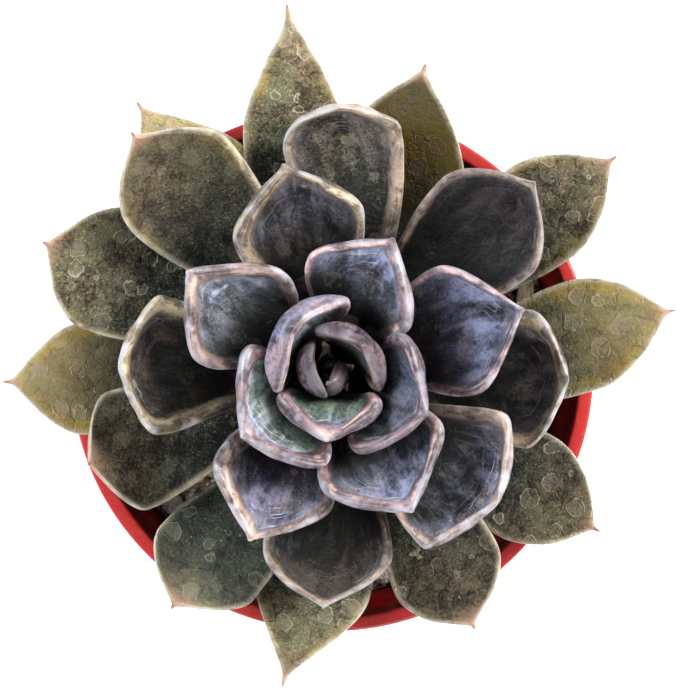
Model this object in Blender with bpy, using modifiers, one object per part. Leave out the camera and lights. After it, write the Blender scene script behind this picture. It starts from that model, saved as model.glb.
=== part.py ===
# Potted echeveria: a rosette of thick cupped leaves on a short stem, in a small plastic nursery pot.
# Metres, +Z up. The pot's axis is the Z axis, its flat underside lies at z = 0, +Y is the photo's up.

import math
import random

import bmesh
import bpy
from mathutils import Euler, Matrix, Vector, noise

MM = 0.001

# Pot: a 10 cm nursery pot with a collar under its rim and a raised ring under its floor
RIM_RADIUS = 50 * MM
POT_HEIGHT = 85 * MM
POT_WALL = 1.8 * MM
LIP_WIDTH = 2.9 * MM
COLLAR_HEIGHT = 10 * MM
COLLAR_STEP = 2.6 * MM
BASE_RADIUS = 37.4 * MM
BASE_EDGE = 1.2 * MM
FLOOR_TOP = 3.2 * MM
RECESS_DEPTH = 1.2 * MM
RECESS_INNER = 14 * MM
RECESS_OUTER = 29.5 * MM
DRAIN_CIRCLE = 22 * MM
DRAIN_RADIUS = 3.2 * MM
DRAIN_COUNT = 8
POT_STEPS = 48

# Soil: fills the pot to below the rim, with a lumpy top
CLEAR = 0.3 * MM
SOIL_DROP = 15.5 * MM
SOIL_WAVE = 1.1 * MM
SOIL_STEPS = 36
SOIL_RINGS = 8
GRANULES = 48
GRANULE_SIZE = (1.5 * MM, 2.9 * MM)
STEM_HOLE_DEPTH = 24 * MM

# Pale grains lying on the soil where the leaves part: name, place, size, turn in degrees
LOOSE_GRAINS = (
    ("perlite_1", (-31.5, -26.5), (2.7, 2.1, 1.8), 130),
    ("perlite_2", (10.0, -40.5), (2.2, 1.9, 1.5), 10),
    ("perlite_3", (26.0, -31.5), (2.0, 1.6, 1.4), 40),
    ("bark_chip_1", (38.0, 14.5), (3.8, 1.7, 1.2), 80),
    ("bark_chip_2", (40.5, -11.0), (4.0, 1.5, 1.2), 105),
    ("bark_chip_3", (-24.5, -34.0), (3.4, 1.3, 1.0), 145),
)

# Stem and the spiral on which the leaves grow: each leaf sits a little lower and further out
ROOT_TOP = POT_HEIGHT + 19.5 * MM
ROOT_PITCH = 0.94 * MM
STEM_TIP = 1.2 * MM
STEM_RADIUS = 6.0 * MM
STEM_SWELL = 14
STEM_CLEAR = 0.3 * MM
SCAR_DEPTH = 0.35 * MM
STEM_STEPS = 16

# Leaf section and length rules
LEAF_SIDES = 16
LEAF_RINGS = 11
BUD_SIDES = 12
BUD_RINGS = 8
ROOT_SHARE = 0.28
ROOT_RISE = 76
ROOT_RISE_LOW = 4
BUD_RISE = 85
RISE_FALL = 1.6
SPIRAL_END = 34
LEAF_THICK = 5 * MM
BUD_THICK = 2.2 * MM
CORE_THICK = 1.6 * MM
THICKEN = 0.7 * MM
RIM_BUD = 0.50
RIM_FULL = 0.85
RIM_THIN = 0.40
CUP_DEEP = 0.50
CUP_SHALLOW = 0.20
CUP_POWER = 2.4
RIM_POWER = 0.60
ROOT_HANDLE = 0.38
TIP_HANDLE = 0.35

# The leaves from the bud outwards, read off the photo. Angles in degrees, sizes in millimetres:
# azimuth of the root, azimuth of the tip, sideways sweep of the tip, reach of the tip from the axis,
# height of the tip over the rim, rise of the tip, half width, place of the widest point, taper, roll, twist
LEAVES = (
    (245, 245, 0, 1.2, 23, 90, 1.2, 0.45, 0.6, 0, 0),
    (107, 100, 0, 1.0, 24, 100, 1.6, 0.50, 0.6, 0, 0),
    (334, 244, 117, 2.3, 30, 125, 3.3, 0.58, 0.4, 0, 90),
    (202, 148, 70, 3.9, 33, 121, 5.3, 0.62, 0.4, 0, 37),
    (58, 42, -30, 7.0, 33, 112, 8.0, 0.62, 0.2, 0, 0),
    (269, 266, 0, 12.4, 31, 46, 9.1, 0.64, 0.3, 0, 0),
    (150, 128, 12, 10.0, 34.3, 117, 10.5, 0.62, 0.3, 0, 14),
    (344, 336, 0, 18.8, 31.2, 54, 11.1, 0.62, 0.2, 0, 5),
    (213, 216, 0, 19.8, 31, 52, 12.4, 0.64, 0.2, 0, -7),
    (74, 65, 0, 26.2, 30.6, 50, 10.9, 0.60, 0.5, -14, 0),
    (302, 300, 0, 28.9, 29, 58, 12.0, 0.60, 0.4, 0, 0),
    (149, 145, 0, 31.4, 29.5, 50, 11.1, 0.60, 0.4, -14, 0),
    (20, 18, 0, 36.2, 28, 45, 11.7, 0.64, 0.3, 0, 0),
    (233, 244, 0, 33.6, 27.5, 52, 11.3, 0.64, 0.3, 0, 0),
    (101, 103, 0, 38.2, 27, 55, 11.9, 0.66, 0.3, 0, 0),
    (310, 322, 0, 37.7, 25.5, 92, 13.9, 0.72, 0, 4, 0),
    (179, 178, 0, 38.2, 24.5, 85, 12.4, 0.72, 0, 0, 0),
    (44, 43, 0, 50.2, 23.5, 62, 11.9, 0.69, 0, 0, 0),
    (273, 268, 0, 43.0, 20.5, 60, 11.8, 0.70, 0, 0, 0),
    (122, 130, 0, 56.9, 19.5, 45, 12.2, 0.74, 0, 0, 0),
    (355, 358, 0, 43.2, 19.5, 80, 12.8, 0.72, 0, 0, 0),
    (206, 201, 0, 47.9, 17, 75, 11.6, 0.75, 0, 0, 0),
    (64, 88, 42, 47.8, 20.5, 108, 11.0, 0.71, 0, 11, 0),
    (308, 299, 0, 54.9, 12, 45, 10.6, 0.74, 0, 0, 0),
    (153, 156, 0, 58.7, 13.5, 40, 12.0, 0.75, 0, 0, 0),
    (352, 10, 0, 64.8, 12, 20, 10.5, 0.71, 0.1, 0, 0),
    (250, 236, 0, 53.2, 13, 45, 11.2, 0.76, 0, 0, 0),
    (110, 97, 0, 68.3, 14.5, 20, 9.3, 0.64, 0.6, 0, 0),
    (330, 329, 0, 58.5, 9, 30, 10.7, 0.70, 0, 0, 0),
    (182, 182, 0, 61.9, 7, 15, 10.4, 0.75, 0.4, 0, 0),
    (38, 37, 0, 66.5, 11, 20, 10.2, 0.72, 0.1, 0, 0),
    (273, 261, -8, 60.4, 6.4, 16, 11.2, 0.64, 0.6, 0, 0),
    (122, 126, 0, 62.4, 8, 10, 11.0, 0.66, 0.4, 0, 0),
    (66, 73, 0, 60.3, 8, 10, 12.6, 0.64, 0.3, 0, 0),
)
FIRST_ORDER = -1


def clear_scene():
    for obj in list(bpy.data.objects):
        bpy.data.objects.remove(obj, do_unlink=True)


def new_collection(name):
    collection = bpy.data.collections.new(name)
    bpy.context.scene.collection.children.link(collection)
    return collection


def new_material(name, color, roughness, metallic=0.0):
    material = bpy.data.materials.new(name)
    material.use_nodes = True
    shader = material.node_tree.nodes["Principled BSDF"]
    shader.inputs["Base Color"].default_value = (*color, 1.0)
    shader.inputs["Roughness"].default_value = roughness
    shader.inputs["Metallic"].default_value = metallic
    return material


def new_object(name, mesh, collection, material=None):
    obj = bpy.data.objects.new(name, mesh)
    if material:
        mesh.materials.append(material)
    collection.objects.link(obj)
    return obj


def mesh_from(bm, name):
    mesh = bpy.data.meshes.new(name)
    bm.to_mesh(mesh)
    bm.free()
    return mesh


def smoothstep(x):
    x = min(1.0, max(0.0, x))
    return x * x * (3 - 2 * x)


def heading(azimuth, rise=0.0):
    a = math.radians(azimuth)
    r = math.radians(rise)
    return Vector((math.cos(r) * math.cos(a), math.cos(r) * math.sin(a), math.sin(r)))


# A profile of (radius, height) points turned round the Z axis into a closed body
def turned(name, profile, steps, collection, material):
    bm = bmesh.new()
    points = [bm.verts.new((r, 0, z)) for r, z in profile]
    for a, b in zip(points, points[1:]):
        bm.edges.new((a, b))
    obj = new_object(name, mesh_from(bm, name), collection, material)
    screw = obj.modifiers.new("turn", "SCREW")
    screw.steps = steps
    screw.render_steps = steps
    screw.use_merge_vertices = True
    screw.merge_threshold = 0.00001
    screw.use_smooth_shade = True
    return obj


# Replaces an object's mesh with its evaluated one and drops the modifiers
def apply_modifiers(obj):
    evaluated = obj.evaluated_get(bpy.context.evaluated_depsgraph_get())
    mesh = bpy.data.meshes.new_from_object(evaluated)
    obj.modifiers.clear()
    old = obj.data
    obj.data = mesh
    bpy.data.meshes.remove(old)


def boolean(obj, operation, collection):
    modifier = obj.modifiers.new(operation.lower(), "BOOLEAN")
    modifier.operation = operation
    modifier.operand_type = "COLLECTION"
    modifier.collection = collection
    modifier.solver = "EXACT"
    return modifier


def hide_cutter(obj):
    obj.hide_render = True
    obj.display_type = "WIRE"


# Inner radius of the pot's tapered wall at a height
def wall_inside(z):
    top = POT_HEIGHT - COLLAR_HEIGHT
    slope = (RIM_RADIUS - COLLAR_STEP - BASE_RADIUS) / top
    return BASE_RADIUS + slope * z - POT_WALL


def make_pot(collection, cutters, material):
    collar = POT_HEIGHT - COLLAR_HEIGHT
    inner = RIM_RADIUS - LIP_WIDTH
    shoulder = RIM_RADIUS - COLLAR_STEP
    floor = FLOOR_TOP
    edge = BASE_EDGE
    profile = [
        (0, floor),
        (wall_inside(floor) - 1.5 * MM, floor),
        (wall_inside(floor + 1.5 * MM), floor + 1.5 * MM),
        (wall_inside(collar - 1 * MM), collar - 1 * MM),
        (inner - 0.6 * MM, collar + 1 * MM),
        (inner, POT_HEIGHT - 0.8 * MM),
        (inner + 0.6 * MM, POT_HEIGHT),
        (RIM_RADIUS - 0.7 * MM, POT_HEIGHT),
        (RIM_RADIUS, POT_HEIGHT - 0.7 * MM),
        (RIM_RADIUS - 0.4 * MM, collar + 0.8 * MM),
        (RIM_RADIUS - 1.0 * MM, collar),
        (shoulder, collar),
        (BASE_RADIUS + 0.3 * MM, edge),
        (BASE_RADIUS - edge, 0),
        (RECESS_OUTER + 0.6 * MM, 0),
        (RECESS_OUTER, RECESS_DEPTH),
        (RECESS_INNER, RECESS_DEPTH),
        (RECESS_INNER - 0.6 * MM, 0),
        (0, 0),
    ]
    pot = turned("pot", profile, POT_STEPS, collection, material)
    drains = bpy.data.collections.new("drain_holes")
    cutters.children.link(drains)
    for i in range(DRAIN_COUNT):
        place = heading(360 * i / DRAIN_COUNT) * DRAIN_CIRCLE
        bm = bmesh.new()
        bmesh.ops.create_cone(
            bm, cap_ends=True, segments=12, radius1=DRAIN_RADIUS, radius2=DRAIN_RADIUS, depth=4 * FLOOR_TOP,
            matrix=Matrix.Translation(place),
        )
        hide_cutter(new_object(f"drain_{i + 1}", mesh_from(bm, "drain"), drains))
    boolean(pot, "DIFFERENCE", drains)
    return pot


# A small irregular lump: an icosphere pulled about by noise, flattened and turned
def lump(name, place, size, turn, tilt, seed, collection, material=None, detail=1, grow=0.0):
    bm = bmesh.new()
    bmesh.ops.create_icosphere(bm, subdivisions=detail, radius=1.0)
    for vert in bm.verts:
        wobble = 1 + 0.22 * noise.noise(vert.co * 1.3 + Vector((seed * 7.1, 0, 0)))
        vert.co = Vector([vert.co[i] * (size[i] * wobble + grow) for i in range(3)])
    rotation = Euler((math.radians(tilt), 0, math.radians(turn))).to_matrix().to_4x4()
    bm.transform(Matrix.Translation(place) @ rotation)
    return new_object(name, mesh_from(bm, name), collection, material)


def soil_height(x, y):
    place = Vector((x, y, 0)) / MM
    wave = 0.6 * noise.noise(place * 0.16) + 0.4 * noise.noise(place * 0.37)
    return POT_HEIGHT - SOIL_DROP + SOIL_WAVE * wave


# The soil body is spun round the axis, its top ring by ring, and the top's points follow soil_height
def soil_body(collection, material):
    hole = STEM_RADIUS
    top = POT_HEIGHT - SOIL_DROP
    edge = wall_inside(top) - 2 * CLEAR
    bottom = FLOOR_TOP + CLEAR
    profile = [(0, top - STEM_HOLE_DEPTH), (hole, top - STEM_HOLE_DEPTH)]
    for i in range(SOIL_RINGS + 1):
        profile.append((hole + (edge - hole) * i / SOIL_RINGS, top))
    profile.append((wall_inside(bottom + 1.5 * MM) - 2 * CLEAR, bottom + 1.5 * MM))
    profile.append((wall_inside(bottom) - 1.5 * MM - 2 * CLEAR, bottom))
    profile.append((0, bottom))
    soil = turned("soil", profile, SOIL_STEPS, collection, material)
    apply_modifiers(soil)
    for vert in soil.data.vertices:
        if vert.co.z > top - 1 * MM:
            vert.co.z = soil_height(vert.co.x, vert.co.y)
    return soil


def make_soil(collection, cutters, soil_material, loose_materials):
    soil = soil_body(collection, soil_material)
    granules = bpy.data.collections.new("granules")
    cutters.children.link(granules)
    rng = random.Random(7)
    for i in range(GRANULES):
        radius = math.sqrt(rng.uniform(0.06, 1)) * (wall_inside(POT_HEIGHT - SOIL_DROP) - 4.5 * MM)
        spot = heading(137.5 * i + rng.uniform(-8, 8)) * max(radius, 11 * MM)
        size = [rng.uniform(*GRANULE_SIZE) for _ in range(3)]
        spot.z = soil_height(spot.x, spot.y) - 0.1 * size[2]
        lump(f"granule_{i + 1}", spot, size, rng.uniform(0, 360), rng.uniform(-25, 25), i, granules)
    boolean(soil, "UNION", granules)
    apply_modifiers(soil)
    for obj in list(granules.objects):
        bpy.data.objects.remove(obj, do_unlink=True)
    bpy.data.collections.remove(granules)
    beds = bpy.data.collections.new("grain_beds")
    cutters.children.link(beds)
    for i, (name, place, size, turn) in enumerate(LOOSE_GRAINS):
        spot = Vector((place[0], place[1], 0)) * MM
        spot.z = soil_height(spot.x, spot.y) + 0.45 * size[2] * MM
        scaled = [s * MM for s in size]
        material = loose_materials[name.rsplit("_", 1)[0]]
        lump(name, spot, scaled, turn, 8, i + 50, collection, material, detail=2)
        bed = lump(f"{name}_bed", spot, scaled, turn, 8, i + 50, beds, detail=2, grow=CLEAR * 1.3)
        hide_cutter(bed)
    boolean(soil, "DIFFERENCE", beds)
    return soil


# Radius of the stem where the leaf of this order grows
def root_radius(order):
    grown = min(1.0, max(0, order) / STEM_SWELL)
    return STEM_TIP + (STEM_RADIUS - STEM_TIP) * grown**0.7


# The stem tapers to the growing tip, with a shallow ring of scar under each pair of leaves
def make_stem(collection, material):
    foot = POT_HEIGHT - SOIL_DROP - STEM_HOLE_DEPTH + CLEAR
    profile = [(0, ROOT_TOP - 0.9 * ROOT_PITCH)]
    for order in range(1, SPIRAL_END + 1, 2):
        radius = root_radius(order) - STEM_CLEAR
        scar = SCAR_DEPTH if order % 4 == 1 else 0
        profile.append((radius - scar, ROOT_TOP - ROOT_PITCH * (order + 0.2)))
    profile.append((STEM_RADIUS - STEM_CLEAR, foot + 1 * MM))
    profile.append((STEM_RADIUS - STEM_CLEAR - 1 * MM, foot))
    profile.append((0, foot))
    return turned("stem", profile, STEM_STEPS, collection, material)


class Leaf:
    # One leaf: a midrib curve from the stem to the tip, and a cupped section of growing width along it
    def __init__(self, order, row):
        root, tip, sweep, reach, height, tip_rise, half_width, self.widest, self.taper, roll, twist = row
        self.half_width = half_width * MM
        self.roll = math.radians(roll)
        self.root = root
        self.turn = (tip + twist - root + 180) % 360 - 180
        fall = max(0.0, 1 - order / SPIRAL_END)
        rise = max(ROOT_RISE_LOW, ROOT_RISE * fall**RISE_FALL) if order > 0 else BUD_RISE
        start = heading(root) * root_radius(order)
        start.z = ROOT_TOP - ROOT_PITCH * order
        end = heading(tip) * reach * MM
        end.z = POT_HEIGHT + height * MM
        chord = (end - start).length
        first = start + heading(root, rise) * chord * ROOT_HANDLE
        last = end - heading(tip + sweep, tip_rise) * chord * TIP_HANDLE
        self.curve = (start, first, last, end)
        self.thick = min(LEAF_THICK, BUD_THICK + THICKEN * order) if order > 0 else CORE_THICK
        share = RIM_BUD + (RIM_FULL - RIM_BUD) * smoothstep((order - 1) / 4)
        share += (RIM_THIN - RIM_FULL) * smoothstep((order - 12) / 14)
        self.rim = self.thick * share
        self.cup = CUP_DEEP + (CUP_SHALLOW - CUP_DEEP) * smoothstep((order - 5) / 18)

    def midrib(self, u):
        a, b, c, d = self.curve
        v = 1 - u
        point = v**3 * a + 3 * v * v * u * b + 3 * v * u * u * c + u**3 * d
        along = (v * v * (b - a) + 2 * v * u * (c - b) + u * u * (d - c)).normalized()
        azimuth = math.radians(self.root + self.turn * u)
        side = Vector((-math.sin(azimuth), math.cos(azimuth), 0))
        side = (side - side.dot(along) * along).normalized()
        face = along.cross(side)
        roll = self.roll * smoothstep(u / 0.6)
        tilted = side * math.cos(roll) + face * math.sin(roll)
        return point, tilted, face * math.cos(roll) - side * math.sin(roll)

    # Half width along the leaf: a narrow foot, the widest point, then a blunt or tapering tip
    def width(self, u):
        if u < self.widest:
            share = ROOT_SHARE + (1 - ROOT_SHARE) * math.sin(math.pi / 2 * u / self.widest) ** 1.8
        else:
            x = (1 - u) / (1 - self.widest)
            blunt = math.sin(math.pi / 2 * x) ** 0.75
            share = (1 - self.taper) * blunt + self.taper * smoothstep(x)
        return self.half_width * share * self.cap(u)

    # Round closing of the foot
    def cap(self, u):
        x = 1 - min(1.0, u / 0.05)
        return math.sqrt(max(0.0, 1 - x * x))

    def thickness(self, u):
        tip = math.sin(math.pi / 2 * min(1.0, (1 - u) / 0.38)) ** 0.8
        return (0.36 + 0.64 * smoothstep(u / 0.8)) * tip * self.cap(u)

    # The surface point at u along the leaf and turn round its section; +1 is the upper face
    def surface(self, u, turn):
        point, side, face = self.midrib(u)
        c = math.cos(turn)
        s = math.sin(turn)
        across = math.copysign(abs(c) ** RIM_POWER, c)
        upward = math.copysign(abs(s) ** RIM_POWER, s)
        width = self.width(u)
        cup = self.cup * smoothstep(u / 0.5)
        slope = cup * CUP_POWER * abs(across) ** (CUP_POWER - 1) * math.copysign(1, across)
        normal = math.sqrt(1 + slope * slope)
        depth = (self.rim + (self.thick - self.rim) * (1 - across * across)) * self.thickness(u)
        offset = upward * depth / 2
        x = width * across - slope / normal * offset
        y = cup * width * abs(across) ** CUP_POWER + offset / normal
        return point + side * x + face * y


# A leaf is a UV sphere whose rings are spread along the midrib and whose segments go round the section
def make_leaf(number, row, collection, material):
    order = number - 1 + FIRST_ORDER
    leaf = Leaf(order, row)
    small = order < 3
    bm = bmesh.new()
    bmesh.ops.create_uvsphere(
        bm, u_segments=BUD_SIDES if small else LEAF_SIDES, v_segments=BUD_RINGS if small else LEAF_RINGS,
        radius=1.0,
    )
    for vert in bm.verts:
        u = min(1.0, max(0.0, (1 - vert.co.z) / 2))
        turn = math.atan2(vert.co.y, vert.co.x)
        vert.co = leaf.surface(u, turn)
    bmesh.ops.recalc_face_normals(bm, faces=bm.faces)
    mesh = mesh_from(bm, f"leaf_{number:02d}")
    mesh.shade_smooth()
    return new_object(f"leaf_{number:02d}", mesh, collection, material)


def leaf_material(number):
    if number <= 9:
        return "leaf_inner"
    return "leaf_middle" if number <= 23 else "leaf_outer"


def main():
    clear_scene()
    plant = new_collection("potted_echeveria")
    cutters = new_collection("cutters")
    plastic = new_material("pot_plastic", (0.75, 0.11, 0.08), 0.35)
    earth = new_material("soil_grit", (0.16, 0.12, 0.09), 0.95)
    loose = {
        "perlite": new_material("perlite", (0.80, 0.78, 0.73), 0.9),
        "bark_chip": new_material("bark_chip", (0.62, 0.42, 0.24), 0.85),
    }
    woody = new_material("stem", (0.22, 0.17, 0.11), 0.8)
    leaves = {
        "leaf_inner": new_material("leaf_inner", (0.16, 0.17, 0.22), 0.3),
        "leaf_middle": new_material("leaf_middle", (0.07, 0.06, 0.075), 0.35),
        "leaf_outer": new_material("leaf_outer", (0.16, 0.15, 0.075), 0.45),
    }
    make_pot(plant, cutters, plastic)
    make_soil(plant, cutters, earth, loose)
    make_stem(plant, woody)
    for number, row in enumerate(LEAVES, 1):
        make_leaf(number, row, plant, leaves[leaf_material(number)])


main()
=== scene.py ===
# Looks of the potted echeveria: fine leaves, pot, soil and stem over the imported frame, with camera and light
import math

import bpy
import numpy as np
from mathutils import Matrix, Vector


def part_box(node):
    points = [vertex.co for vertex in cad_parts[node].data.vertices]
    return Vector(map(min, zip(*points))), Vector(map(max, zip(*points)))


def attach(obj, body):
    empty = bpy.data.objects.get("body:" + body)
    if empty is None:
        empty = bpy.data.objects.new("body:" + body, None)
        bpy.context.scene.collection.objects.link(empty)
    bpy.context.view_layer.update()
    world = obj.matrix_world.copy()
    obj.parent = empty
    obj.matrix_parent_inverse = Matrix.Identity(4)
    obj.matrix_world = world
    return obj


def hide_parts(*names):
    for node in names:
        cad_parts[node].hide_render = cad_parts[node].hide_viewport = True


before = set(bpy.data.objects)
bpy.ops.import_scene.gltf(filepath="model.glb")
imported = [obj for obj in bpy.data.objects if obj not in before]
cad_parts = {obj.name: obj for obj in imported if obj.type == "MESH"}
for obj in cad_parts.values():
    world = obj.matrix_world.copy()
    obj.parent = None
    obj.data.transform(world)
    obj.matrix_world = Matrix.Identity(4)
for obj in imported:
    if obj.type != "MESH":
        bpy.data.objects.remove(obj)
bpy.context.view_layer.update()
mm = 0.001
print("frame loaded:", len(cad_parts), "nodes")


# Numbers on arrays

def smoothStep(x, start=0.0, end=1.0):
    # 0 below start, 1 above end, 3t^2 - 2t^3 between them
    t = np.clip((np.asarray(x, float) - start) / (end - start), 0, 1)
    return t * t * (3 - 2 * t)


def hump(x, centre, width):
    # bell curve of height 1: e^(-((x - centre) / width)^2)
    return np.exp(-(((x - centre) / width) ** 2))


def heading(azimuth, rise=0.0):
    # unit vector at an azimuth from +X and a rise over the horizon, in degrees
    a = math.radians(azimuth)
    r = math.radians(rise)
    return np.array([math.cos(r) * math.cos(a), math.cos(r) * math.sin(a), math.sin(r)])


def unit(v):
    # vectors divided by their length
    return v / np.maximum(np.linalg.norm(v, axis=-1, keepdims=True), 1e-12)


def softNoise(points, seed):
    # lattice noise from -1 to 1: random values at whole numbers, blended by 3t^2 - 2t^3 along each axis
    table = np.random.default_rng(seed).uniform(-1, 1, (32, 32, 32))
    cell = np.floor(points).astype(int)
    t = smoothStep(points - cell)
    total = 0.0
    for corner in range(8):
        step = np.array([corner & 1, corner >> 1 & 1, corner >> 2 & 1])
        x, y, z = np.moveaxis((cell + step) % 32, -1, 0)
        share = np.prod(np.where(step == 1, t, 1 - t), axis=-1)
        total = total + share * table[x, y, z]
    return total


def roughNoise(points, seed, octaves=3):
    # softNoise at doubling frequency and halving height, summed
    return sum(softNoise(points * 2**i + 7.3 * i, seed + i) / 2**i for i in range(octaves))


def linear(red, green, blue):
    # screen colour of 0 to 255 made linear: ((c + 0.055) / 1.055) ** 2.4, or c / 12.92 in the darks
    shades = [c / 255 for c in (red, green, blue)]
    return (*[c / 12.92 if c < 0.04045 else ((c + 0.055) / 1.055) ** 2.4 for c in shades], 1.0)


def linearTones(table):
    # a table of screen colours, each alone or in a group, made linear
    groups = {name: tone if isinstance(tone[0], tuple) else (tone,) for name, tone in table.items()}
    made = {name: [linear(*tone) for tone in group] for name, group in groups.items()}
    return {name: group if len(group) > 1 else group[0] for name, group in made.items()}


# Meshes and objects from arrays

def newMesh(name, points, faces, smooth=True):
    mesh = bpy.data.meshes.new(name)
    mesh.from_pydata(points.tolist(), [], faces)
    if smooth:
        mesh.shade_smooth()
    return mesh


def newObject(name, data):
    thing = bpy.data.objects.new(name, data)
    bpy.context.scene.collection.objects.link(thing)
    return thing


def setAttribute(mesh, name, values):
    # one number or one vector for each point of the mesh
    kind, key = ("FLOAT_VECTOR", "vector") if values.ndim == 2 else ("FLOAT", "value")
    mesh.attributes.new(name, kind, "POINT").data.foreach_set(key, values.ravel())


def boxOf(node):
    # lowest and highest corner of a CAD node, in mm
    return [np.array(corner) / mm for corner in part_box(node)]


def meshFromRings(name, rings, attributes=None):
    # rings is (ring, side, xyz), the first and last ring each close in one point; quads between, fans at the ends
    count, sides = rings.shape[:2]
    first = rings[0].mean(axis=0)
    last = rings[-1].mean(axis=0)
    points = np.concatenate((first[None], rings[1:-1].reshape(-1, 3), last[None]))
    i, j = np.meshgrid(np.arange(count - 3), np.arange(sides), indexing="ij")
    k = (j + 1) % sides
    quads = np.stack((i * sides + j, i * sides + k, (i + 1) * sides + k, (i + 1) * sides + j), -1).reshape(-1, 4) + 1
    j = np.arange(sides)
    k = (j + 1) % sides
    end = len(points) - 1
    startFan = np.stack((np.zeros(sides, int), k + 1, j + 1), -1)
    endFan = np.stack((np.full(sides, end), end - sides + j, end - sides + k), -1)
    mesh = newMesh(name, points, quads.tolist() + startFan.tolist() + endFan.tolist())
    for key, values in (attributes or {}).items():
        middle = values[1:-1].reshape(-1, *values.shape[2:])
        flat = np.concatenate((values[0].mean(axis=0)[None], middle, values[-1].mean(axis=0)[None]))
        setAttribute(mesh, key, flat)
    return mesh


def addPiece(name, mesh, material, slot, *nodes):
    # one piece of the plant: it rides on the body, wears the material given and stands for the CAD nodes named; slot
    # is not used
    piece = newObject(name, mesh)
    mesh.materials.clear()
    mesh.materials.append(material)
    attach(piece, "root")
    if nodes:
        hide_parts(*nodes)


# Materials

class Wire:
    # one output of a node; + - * / and the methods below add nodes to it and give the new output
    def __init__(self, shader, socket):
        self.shader = shader
        self.socket = socket

    def math(self, operation, *values):
        return self.shader.node("Math", {"operation": operation}, dict(enumerate(values)))

    def __add__(self, other):
        return self.math("ADD", self, other)

    def __sub__(self, other):
        return self.math("SUBTRACT", self, other)

    def __rsub__(self, other):
        return self.math("SUBTRACT", other, self)

    def __mul__(self, other):
        return self.math("MULTIPLY", self, other)

    def __truediv__(self, other):
        return self.math("DIVIDE", self, other)

    __radd__ = __add__
    __rmul__ = __mul__

    def least(self, other):
        return self.math("MINIMUM", self, other)

    def most(self, other):
        return self.math("MAXIMUM", self, other)

    def size(self):
        return self.math("ABSOLUTE", self)

    def root(self):
        return self.math("SQRT", self)

    def step(self, start, end, low=0.0, high=1.0):
        # smooth rise from low at start to high at end
        settings = {"interpolation_type": "SMOOTHSTEP"}
        inputs = {"Value": self, "From Min": start, "From Max": end, "To Min": low, "To Max": high}
        return self.shader.node("MapRange", settings, inputs)

    def fall(self, start, end):
        # smooth fall from 1 at start to 0 at end
        return self.step(start, end, 1.0, 0.0)

    def near(self, start, end):
        # 1 up to start away from 0 on either side, smoothly down to 0 at end
        return self.size().fall(start, end)


class Shader:
    # the nodes of one material or of the world, with its shader node as body
    def __init__(self, owner, body="Principled BSDF"):
        owner.use_nodes = True
        self.owner = owner
        self.tree = owner.node_tree
        self.body = self.tree.nodes[body]

    def node(self, kind, settings=None, inputs=None, output=0):
        # any shader node: its settings first, then its inputs by name or number, as values or as wires
        made = self.tree.nodes.new("ShaderNode" + kind)
        for key, value in (settings or {}).items():
            setattr(made, key, value)
        for key, value in (inputs or {}).items():
            self.feed(made.inputs[key], value)
        return Wire(self, made.outputs[output])

    def feed(self, socket, value):
        if isinstance(value, Wire):
            self.tree.links.new(value.socket, socket)
        else:
            socket.default_value = value

    def place(self):
        return self.node("TexCoord", output="Object")

    def attribute(self, name, output="Fac"):
        return self.node("Attribute", {"attribute_name": name}, output=output)

    def vectorMath(self, operation, *values):
        return self.node("VectorMath", {"operation": operation}, dict(enumerate(values)))

    def scaled(self, vector, x, y, z):
        return self.vectorMath("MULTIPLY", vector, (x, y, z))

    def split(self, vector):
        parts = self.node("SeparateXYZ", inputs={0: vector})
        return [Wire(self, output) for output in parts.socket.node.outputs]

    def times(self, vector, amount):
        # a vector or a colour times one number
        return self.node("VectorMath", {"operation": "SCALE"}, {0: vector, "Scale": amount})

    def shifted(self, vector, colour, amount):
        # the vector pushed about by a colour wire centred on a half, times amount
        push = self.vectorMath("SUBTRACT", colour, (0.5, 0.5, 0.5))
        return self.vectorMath("ADD", vector, self.times(push, amount))

    def noise(self, vector, size, detail=2.0, roughness=0.5, output="Fac", distortion=0.0):
        # cloudy noise whose lumps are about size mm across
        inputs = {"Vector": vector, "Scale": 1 / (size * mm), "Detail": detail, "Roughness": roughness,
                  "Distortion": distortion}
        return self.node("TexNoise", inputs=inputs, output=output)

    def cells(self, vector, size, output="Distance", feature="F1"):
        # rounded cells about size mm apart, by the way to the middle of each
        inputs = {"Vector": vector, "Scale": 1 / (size * mm)}
        return self.node("TexVoronoi", {"feature": feature}, inputs, output)

    def lot(self, vector, size, channel=0):
        # the number from 0 to 1 that each of these cells has for its own
        return self.split(self.cells(vector, size, "Color"))[channel]

    def mix(self, share, low, high):
        # colour low where share is 0 and high where it is 1
        return self.node("Mix", {"data_type": "RGBA"}, {0: share, 6: low, 7: high}, output=2)

    def layers(self, color, *coats):
        # coats of share and tone laid over a colour, one after the other
        for share, tone in coats:
            color = self.mix(share, color, tone)
        return color

    def finish(self, **values):
        # Base_Color=wire sets the shader's Base Color, and so on
        for key, value in values.items():
            self.feed(self.body.inputs[key.replace("_", " ")], value)
        return self.owner

    def surface(self, color, roughness, height, depth, **values):
        # the usual finish, with a height of 1 standing depth mm proud
        bump = self.node("Bump", inputs={"Height": height, "Distance": depth * mm})
        return self.finish(Base_Color=color, Roughness=roughness, Normal=bump, **values)


def newShader(name):
    return Shader(bpy.data.materials.new(name))


# Leaves

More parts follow.
